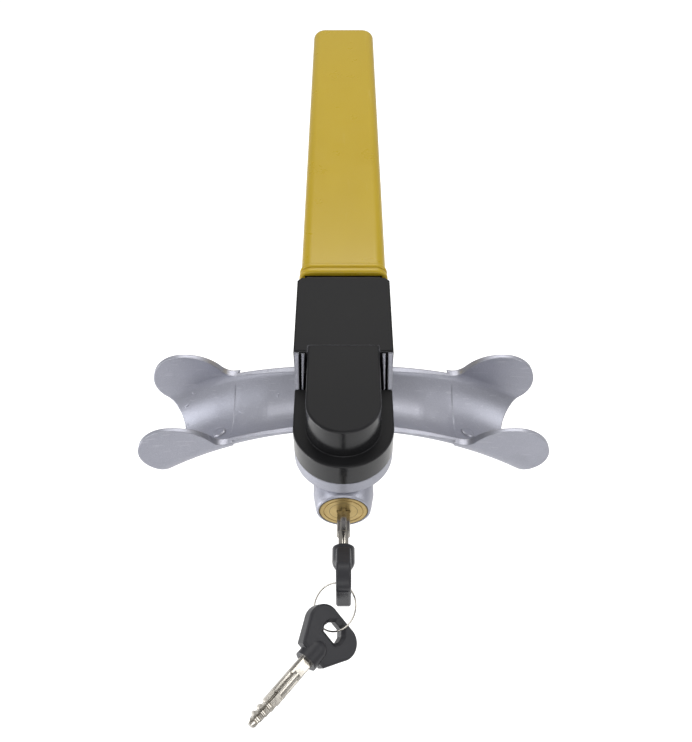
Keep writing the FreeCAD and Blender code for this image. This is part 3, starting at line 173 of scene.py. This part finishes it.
# ---------------------------------------------------------------- materials
def silver_paint(name, painted_shade=1.0):
    """Satin silver-grey paint over a casting: flake, orange peel, dimples, worn edges."""
    mat = Surface(name)
    tone = mat.patches(scale=14, detail=3, roughness=0.5, span=(0.3, 0.7))
    flake = mat.patches(scale=2600, detail=2, roughness=0.6, span=(0.45, 0.72), to=(0.0, 0.40))
    blotch = mat.noise(scale=45, detail=6, roughness=0.62)
    stain = mat.remap(blotch, span=(0.58, 0.80), to=(0.0, 0.30))
    pale_edges = mat.times(
        mat.edge_mask(radius=0.0007),
        mat.patches(scale=160, detail=5, roughness=0.6, span=(0.42, 0.62), to=(0.0, 0.85)))
    scratch = mat.patches(scale=55, detail=2, roughness=0.4, stretch=(1.0, 14.0, 14.0),
                          span=(0.665, 0.69), to=(0.0, 0.35))
    # painted shade: a factor below 1 dims the whole paint colour
    colour = mat.mix(tone, under=dimmed((0.325, 0.330, 0.385), painted_shade),
                     over=dimmed((0.385, 0.392, 0.450), painted_shade))
    colour = mat.mix(flake, colour, over=(0.58, 0.585, 0.64))
    colour = mat.mix(stain, colour, over=(0.25, 0.254, 0.29))
    colour = mat.mix(pale_edges, colour, over=(0.66, 0.665, 0.71))
    colour = mat.mix(scratch, colour, over=(0.56, 0.565, 0.61))

    peel = mat.noise(scale=900, detail=3, roughness=0.5)
    marks = mat.patches(scale=210, detail=2, roughness=0.35, distortion=0.6,
                        span=(0.735, 0.765))
    dimples = mat.noise(scale=60, detail=5, roughness=0.6)
    return mat.finish({
        "Base Color": colour,
        "Metallic": mat.remap(pale_edges, to=(0.62, 0.85)),
        "Roughness": mat.add(mat.remap(blotch, span=(0.3, 0.8), to=(0.37, 0.49)),
                             mat.times(scratch, 0.15)),
        "Normal": mat.relief((peel, 0.10, 0.0002), (marks, 0.45, 0.0004),
                             (dimples, 0.22, 0.0008), rounding=0.0009),
        "Coat Weight": 0.12,
        "Coat Roughness": 0.38,
    })


def jaw_rim_highlight_mask(mat):
    """Painted highlight along the rounded edge round the raised middle of the jaw."""
    place = mat.axes(mat.position)
    zone = mat.times(mat.remap(place["Z"], span=JAW_RIM_HIGHLIGHT_Z), mat.remap(place["Y"], span=JAW_RIM_HIGHLIGHT_Y))
    across = mat.math("ABSOLUTE", place["X"])
    zone = mat.times(zone, mat.remap(across, span=JAW_RIM_HIGHLIGHT_HALF_X, to=(1.0, 0.0)))
    return mat.times(
        mat.times(zone, mat.edge_mask(radius=0.0011)),
        mat.patches(scale=120, detail=3, roughness=0.5, span=(0.35, 0.6), to=(0.45, 1.0)))


def black_moulding(name, gloss=0.0, lift=0.0, shine=0.13, rim_highlight=False):
    """Black plastic with a fine grain, satin on level faces and glossy on upright walls.

    gloss lowers the roughness of level faces, lift pales the colour, shine is the
    specular level of level faces, and the last flag paints a highlight round the jaw's raised
    middle.
    """
    mat = Surface(name)
    cloud = mat.noise(scale=30, detail=5, roughness=0.6)
    # pale edges: partly wear, partly a painted highlight along every edge of the black moulding
    pale_edges = mat.times(
        mat.edge_mask(radius=0.0007),
        mat.patches(scale=240, detail=4, roughness=0.6, span=(0.36, 0.60), to=(0.25, 0.95)))
    dust = mat.patches(scale=700, detail=6, roughness=0.75, span=(0.66, 0.80), to=(0.0, 0.28))
    blue_lift = lift * 1.2
    colour = mat.mix(mat.remap(cloud, span=(0.35, 0.7)),
                     under=(0.0098 + lift, 0.0098 + lift, 0.0106 + blue_lift),
                     over=(0.0145 + lift, 0.0145 + lift, 0.0155 + blue_lift))
    colour = mat.mix(pale_edges, colour, over=(0.050, 0.050, 0.055))
    # painted highlight: lighter colour along the edge round the jaw's raised middle
    if rim_highlight:
        colour = mat.mix(jaw_rim_highlight_mask(mat), colour, over=(0.17, 0.17, 0.19))
    colour = mat.mix(dust, colour, over=(0.07, 0.069, 0.066))

    # 1 on faces that look up or down, 0 on upright walls
    steepness = mat.math("ABSOLUTE", mat.axes(mat.geometry["Normal"])["Z"])
    level = mat.remap(steepness, span=(0.25, 0.75))
    level_rough = mat.remap(cloud, span=(0.3, 0.8), to=(0.46 - gloss, 0.56 - gloss))
    wall_rough = mat.patches(scale=90, detail=4, roughness=0.6,
                             span=(0.3, 0.75), to=(0.12, 0.24))
    grain = mat.noise(scale=3200, detail=3, roughness=0.65)
    sink = mat.noise(scale=38, detail=2, roughness=0.4)
    return mat.finish({
        "Base Color": colour,
        "Roughness": mat.add(mat.times(level, level_rough),
                             mat.times(mat.math("SUBTRACT", 1.0, level), wall_rough)),
        "Specular IOR Level": mat.remap(level, to=(0.42, shine)),
        "Normal": mat.relief((grain, 0.16, 0.00012), (sink, 0.10, 0.0006), rounding=0.0007),
    })


def yellow_vinyl():
    """Dipped yellow vinyl: soft gloss, gentle ripples along the bar, scuffs and specks."""
    mat = Surface("yellow_vinyl")
    cloud = mat.patches(scale=16, detail=4, roughness=0.5, stretch=(1.0, 0.35, 1.0),
                        span=(0.3, 0.7))
    # painted sheen: the vinyl turns paler and less saturated towards the far end of the bar
    painted_sheen = mat.remap(mat.axes(mat.position)["Y"], span=SLEEVE_SHEEN_Y, to=(0.0, 0.75))
    scuff = mat.patches(scale=48, detail=3, roughness=0.5, stretch=(6.0, 0.6, 6.0),
                        span=(0.66, 0.72), to=(0.0, 0.20))
    speck = mat.patches(scale=620, detail=4, roughness=0.7, span=(0.72, 0.80), to=(0.0, 0.35))
    colour = mat.mix(cloud, under=VINYL_DEEP, over=VINYL_LIGHT)
    colour = mat.mix(painted_sheen, colour, over=(0.465, 0.328, 0.024))
    colour = mat.mix(scuff, colour, over=(0.50, 0.38, 0.08))
    colour = mat.mix(speck, colour, over=(0.20, 0.13, 0.012))

    gloss = mat.patches(scale=60, detail=4, roughness=0.6, span=(0.3, 0.7), to=(0.26, 0.36))
    ripple = mat.noise(scale=26, detail=3, roughness=0.5, stretch=(1.0, 0.4, 1.0))
    skin = mat.noise(scale=480, detail=3, roughness=0.55)
    return mat.finish({
        "Base Color": colour,
        "Roughness": mat.add(gloss, mat.times(scuff, 0.4)),
        "Specular IOR Level": 0.26,
        "Subsurface Weight": 0.06,
        "Subsurface Radius": (0.004, 0.003, 0.001),
        "Subsurface Scale": 0.5,
        "Normal": mat.relief((ripple, 0.28, 0.0011), (skin, 0.06, 0.0003)),
        "Coat Weight": 0.16,
        "Coat Roughness": 0.14,
    })


def turned_brass():
    """Brass turned on a lathe: rings about the lock axis."""
    mat = Surface("turned_brass")
    place = mat.axes(mat.position)
    across = place["X"]
    height = mat.add(place["Z"], -LOCK_AXIS_Z)
    radius = mat.math("SQRT", mat.add(mat.times(across, across), mat.times(height, height)))
    # tool rings: radians per metre of radius, made uneven by noise
    wobble = mat.times(mat.noise(scale=260, detail=3, roughness=0.5), 3.0)
    ring = mat.math("SINE", mat.add(mat.times(radius, 16000.0), wobble))
    tarnish = mat.noise(scale=140, detail=6, roughness=0.65)
    off_seam = mat.math("ABSOLUTE", mat.math("SUBTRACT", radius, LOCK_SEAM_RADIUS))
    clear_of_seam = mat.remap(off_seam, span=(0.0, LOCK_SEAM_HALF_WIDTH))
    seam = mat.math("SUBTRACT", 1.0, clear_of_seam)

    colour = mat.mix(mat.remap(tarnish, span=(0.35, 0.72)),
                     under=(0.600, 0.450, 0.190), over=(0.470, 0.340, 0.130))
    colour = mat.mix(mat.remap(ring, span=(-1.0, 1.0), to=(0.0, 0.22)), colour,
                     over=(0.34, 0.24, 0.09))
    colour = mat.mix(mat.remap(radius, span=LOCK_RIM, to=(0.0, 0.85)), colour,
                     over=(0.055, 0.038, 0.02))
    colour = mat.mix(mat.times(seam, 0.8), colour, over=(0.07, 0.045, 0.02))
    grain = mat.noise(scale=1500, detail=3, roughness=0.6)
    return mat.finish({
        "Base Color": colour,
        "Metallic": 0.9,
        "Roughness": mat.remap(tarnish, span=(0.3, 0.8), to=(0.30, 0.48)),
        "Normal": mat.relief((grain, 0.08, 0.0001), (ring, 0.22, 0.00003), rounding=0.0002),
    })


def bright_nickel():
    """Polished, slightly clouded nickel plating."""
    mat = Surface("bright_nickel")
    tint = (0.52, 0.49, 0.44)
    cloud = mat.noise(scale=170, detail=4, roughness=0.5)
    streak = mat.noise(scale=200, detail=3, roughness=0.5, stretch=(6.0, 1.0, 6.0))
    return mat.finish({
        "Base Color": mat.mix(mat.remap(cloud, span=(0.40, 0.72), to=(0.0, 0.55)),
                              under=tint, over=dimmed(tint, 0.45)),
        "Metallic": 1.0,
        "Roughness": mat.remap(streak, span=(0.3, 0.75), to=(0.12, 0.26)),
        "Normal": mat.relief((cloud, 0.10, 0.0001), (streak, 0.14, 0.00008),
                             rounding=0.00018),
    })


def steel(name, tint, roughness=(0.28, 0.5)):
    """Metal brushed along X, with darker stains."""
    mat = Surface(name)
    brush = mat.noise(scale=300, detail=4, roughness=0.6, stretch=(1.0, 12.0, 12.0))
    stain = mat.patches(scale=60, detail=6, roughness=0.65, span=(0.4, 0.72), to=(0.0, 0.8))
    return mat.finish({
        "Base Color": mat.mix(stain, under=tint, over=dimmed(tint, 0.6)),
        "Metallic": 0.95,
        "Roughness": mat.remap(brush, span=(0.25, 0.75), to=roughness),
        "Normal": mat.relief((brush, 0.18, 0.00008), rounding=0.0003),
    })


def dipped_core():
    """Black steel whose far (+Y) end is dipped in the sleeve's vinyl."""
    mat = Surface("dipped_core")
    dip = mat.remap(mat.axes(mat.position)["Y"], span=CORE_DIP)
    cloud = mat.noise(scale=60, detail=5, roughness=0.6)
    bare = mat.mix(cloud, under=(0.022, 0.022, 0.024), over=(0.038, 0.038, 0.040))
    coated = mat.mix(cloud, under=VINYL_DEEP, over=VINYL_LIGHT)
    skin = mat.noise(scale=300, detail=4, roughness=0.6)
    return mat.finish({
        "Base Color": mat.mix(dip, bare, coated),
        "Metallic": mat.remap(dip, to=(0.9, 0.0)),
        "Roughness": mat.remap(cloud, span=(0.3, 0.7), to=(0.28, 0.42)),
        "Normal": mat.relief((skin, 0.12, 0.0002), rounding=0.0006),
    })


def soft_rubber():
    """Dull black rubber with ribs spaced along X."""
    mat = Surface("soft_rubber")
    rib = mat.node("ShaderNodeTexWave",
                   {"Scale": 130.0, "Distortion": 0.4, "Vector": mat.position},
                   wave_type="BANDS", bands_direction="X").outputs["Fac"]
    cloud = mat.noise(scale=120, detail=5, roughness=0.6)
    grain = mat.noise(scale=1600, detail=3, roughness=0.6)
    return mat.finish({
        "Base Color": mat.mix(mat.remap(cloud, span=(0.35, 0.7)),
                              under=(0.020, 0.020, 0.021), over=(0.036, 0.035, 0.034)),
        "Roughness": mat.remap(cloud, span=(0.3, 0.8), to=(0.62, 0.82)),
        "Normal": mat.relief((grain, 0.2, 0.0002), (rib, 0.5, 0.0005), rounding=0.0005),
    })


def studio_floor():
    """Pale floor, evenly lit as far as the camera sees and clear from underneath."""
    mat = Surface("studio_floor")
    cloud = mat.patches(scale=5, detail=3, roughness=0.5, span=(0.3, 0.7))
    grain = mat.noise(scale=400, detail=3, roughness=0.5)
    camera_ray = mat.node("ShaderNodeLightPath").outputs["Is Camera Ray"]
    material = mat.finish({
        "Base Color": mat.mix(cloud, under=(0.92, 0.92, 0.925), over=(0.94, 0.94, 0.945)),
        "Roughness": mat.patches(scale=80, detail=4, roughness=0.6,
                                 span=(0.3, 0.7), to=(0.55, 0.70)),
        "Normal": mat.relief((grain, 0.02, 0.0002)),
        "Emission Color": WHITE,
        "Emission Strength": mat.times(camera_ray, 0.42),
    })
    clear = mat.node("ShaderNodeBsdfTransparent")
    either = mat.node("ShaderNodeMixShader", {
        0: mat.geometry["Backfacing"], 1: mat.shader.outputs[0], 2: clear.outputs[0]})
    mat.put(either.outputs[0], mat.output.inputs[0])
    return material


paint = silver_paint("silver_paint")
black = black_moulding("black_moulding", rim_highlight=True)
black_bow = black_moulding("black_bow", gloss=0.06, lift=0.017, shine=0.28)
vinyl = yellow_vinyl()
brass = turned_brass()
nickel = bright_nickel()
zinc = steel("bright_zinc", tint=(0.56, 0.56, 0.60))
pin_steel = steel("pin_steel", tint=(0.50, 0.50, 0.52), roughness=(0.22, 0.4))
neck_black = steel("neck_black", tint=(0.030, 0.030, 0.032), roughness=(0.32, 0.5))
rubber = soft_rubber()
# the jaw plate gets the casting's silver paint dimmed to 0.62, as painted shade inside the jaw's
# windows
shaded_plate_paint = silver_paint("shaded_plate_paint", painted_shade=0.62)
core = dipped_core()

# piece: (material, bevel width or None)
LOOKS = {
    "clamp_casting": (paint, None), "trough_plugs": (paint, 0.00025),
    "jaw_plate": (shaded_plate_paint, 0.0003), "jaw_shell": (black, None), "jaw_pad": (rubber, 0.0006),
    "bar_sleeve": (vinyl, None), "neck_ring": (neck_black, 0.0003),
    "bar_core": (core, 0.0004), "bar_rivets": (zinc, 0.0003),
    "cylinder_shell": (brass, 0.00015), "lock_plug": (brass, 0.0001),
    "key_pins": (brass, None), "driver_pins": (brass, None), "spring_strip": (brass, None),
    "pin_springs": (pin_steel, None), "cylinder_pin": (pin_steel, 0.0002),
    "hinge_pin": (pin_steel, 0.0004), "hinge_washers": (zinc, 0.0001),
    "bolt_cover": (zinc, 0.0002), "bolt_cover_screws": (zinc, 0.00015),
    "striker": (zinc, 0.0003), "striker_rivets": (zinc, 0.0003), "plate_screws": (zinc, 0.0002),
    "lock_bolt": (pin_steel, 0.0003), "crank": (pin_steel, 0.0002), "crank_screw": (zinc, 0.0001),
    "key_blade": (nickel, 0.00015), "spare_key_blade": (nickel, 0.00015),
    "key_bow": (black_bow, 0.0002), "spare_key_bow": (black_bow, 0.0002),
    "key_ring": (nickel, None),
}


def dress(piece, material, bevel_width):
    """Give a piece one material and, where a width is given, bevelled edges."""
    piece.data.materials.clear()
    piece.data.materials.append(material)
    for polygon in piece.data.polygons:
        polygon.material_index = 0
    if bevel_width:
        bevel = piece.modifiers.new("edge", "BEVEL")
        bevel.width = bevel_width
        bevel.segments = 2
        bevel.limit_method = "ANGLE"
        bevel.angle_limit = math.radians(38)
        bevel.harden_normals = False


for name, piece in nodes.items():
    dress(piece, *LOOKS[name])


# ---------------------------------------------------------------- floor, lights, camera
def add_object(name, data):
    added = bpy.data.objects.new(name, data)
    scene.collection.objects.link(added)
    return added


def add_floor(height):
    mesh = bpy.data.meshes.new("floor")
    grid = bmesh.new()
    bmesh.ops.create_grid(grid, x_segments=2, y_segments=2, size=FLOOR_HALF_SIZE)
    grid.to_mesh(mesh)
    grid.free()
    floor = add_object("floor", mesh)
    floor.location = (0, 0, height)
    mesh.materials.append(studio_floor())


def area_light(name, location, aim, size, power, colour=WHITE):
    data = bpy.data.lights.new(name, "AREA")
    data.shape = "RECTANGLE"
    data.size, data.size_y = size
    data.energy = power
    data.color = colour
    light = add_object(name, data)
    light.location = location
    direction = Vector(aim) - Vector(location)
    light.rotation_euler = direction.to_track_quat("-Z", "Y").to_euler()
    return light


def add_world():
    """White world, brighter to the camera than as a light."""
    world = bpy.data.worlds.new("studio")
    world.use_nodes = True
    tree = world.node_tree
    background = tree.nodes["Background"]
    background.inputs[0].default_value = (*WHITE, 1.0)
    path = tree.nodes.new("ShaderNodeLightPath")
    level = tree.nodes.new("ShaderNodeMapRange")
    level.inputs["To Min"].default_value = 0.42
    level.inputs["To Max"].default_value = 0.95
    tree.links.new(path.outputs["Is Camera Ray"], level.inputs["Value"])
    tree.links.new(level.outputs["Result"], background.inputs[1])
    scene.world = world


def add_camera():
    lens = bpy.data.cameras.new("camera")
    lens.sensor_fit = "AUTO"
    lens.sensor_width = CAMERA_SENSOR
    lens.lens = CAMERA_LENS
    lens.shift_x, lens.shift_y = CAMERA_SHIFT
    lens.clip_start = 0.01
    lens.clip_end = 20.0
    camera = add_object("camera", lens)
    ahead = Vector((0.0, math.cos(CAMERA_TILT), -math.sin(CAMERA_TILT)))
    camera.location = CAMERA_AIM - CAMERA_DISTANCE * ahead
    camera.rotation_euler = (math.radians(90) - CAMERA_TILT, 0.0, 0.0)
    scene.camera = camera


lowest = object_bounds()[0][2]
add_floor(lowest - FLOOR_DROP)

area_light("key_light", location=(0.05, 0.75, 0.95), aim=(0, 0.08, 0),
           size=(0.9, 0.55), power=6.5, colour=(1.0, 0.99, 0.97))
area_light("left_light", location=(-0.85, -0.05, 0.55), aim=(0, 0.05, 0),
           size=(0.6, 0.5), power=3.2, colour=(0.97, 0.98, 1.0))
area_light("right_light", location=(0.85, -0.05, 0.55), aim=(0, 0.05, 0),
           size=(0.6, 0.5), power=2.9)
area_light("front_light", location=(0.0, -0.75, 0.28), aim=(0, -0.03, 0),
           size=(0.7, 0.3), power=1.7)
# weak and low, for the underside; it points up, so it never reaches the floor
under_light = area_light("under_light", location=(-0.42, -0.10, lowest - UNDER_LIGHT_DROP),
                         aim=(0.0, 0.06, 0.0), size=(0.35, 0.25), power=1.1)
under_light.visible_camera = False

add_world()
add_camera()
scene.view_settings.view_transform = "Standard"
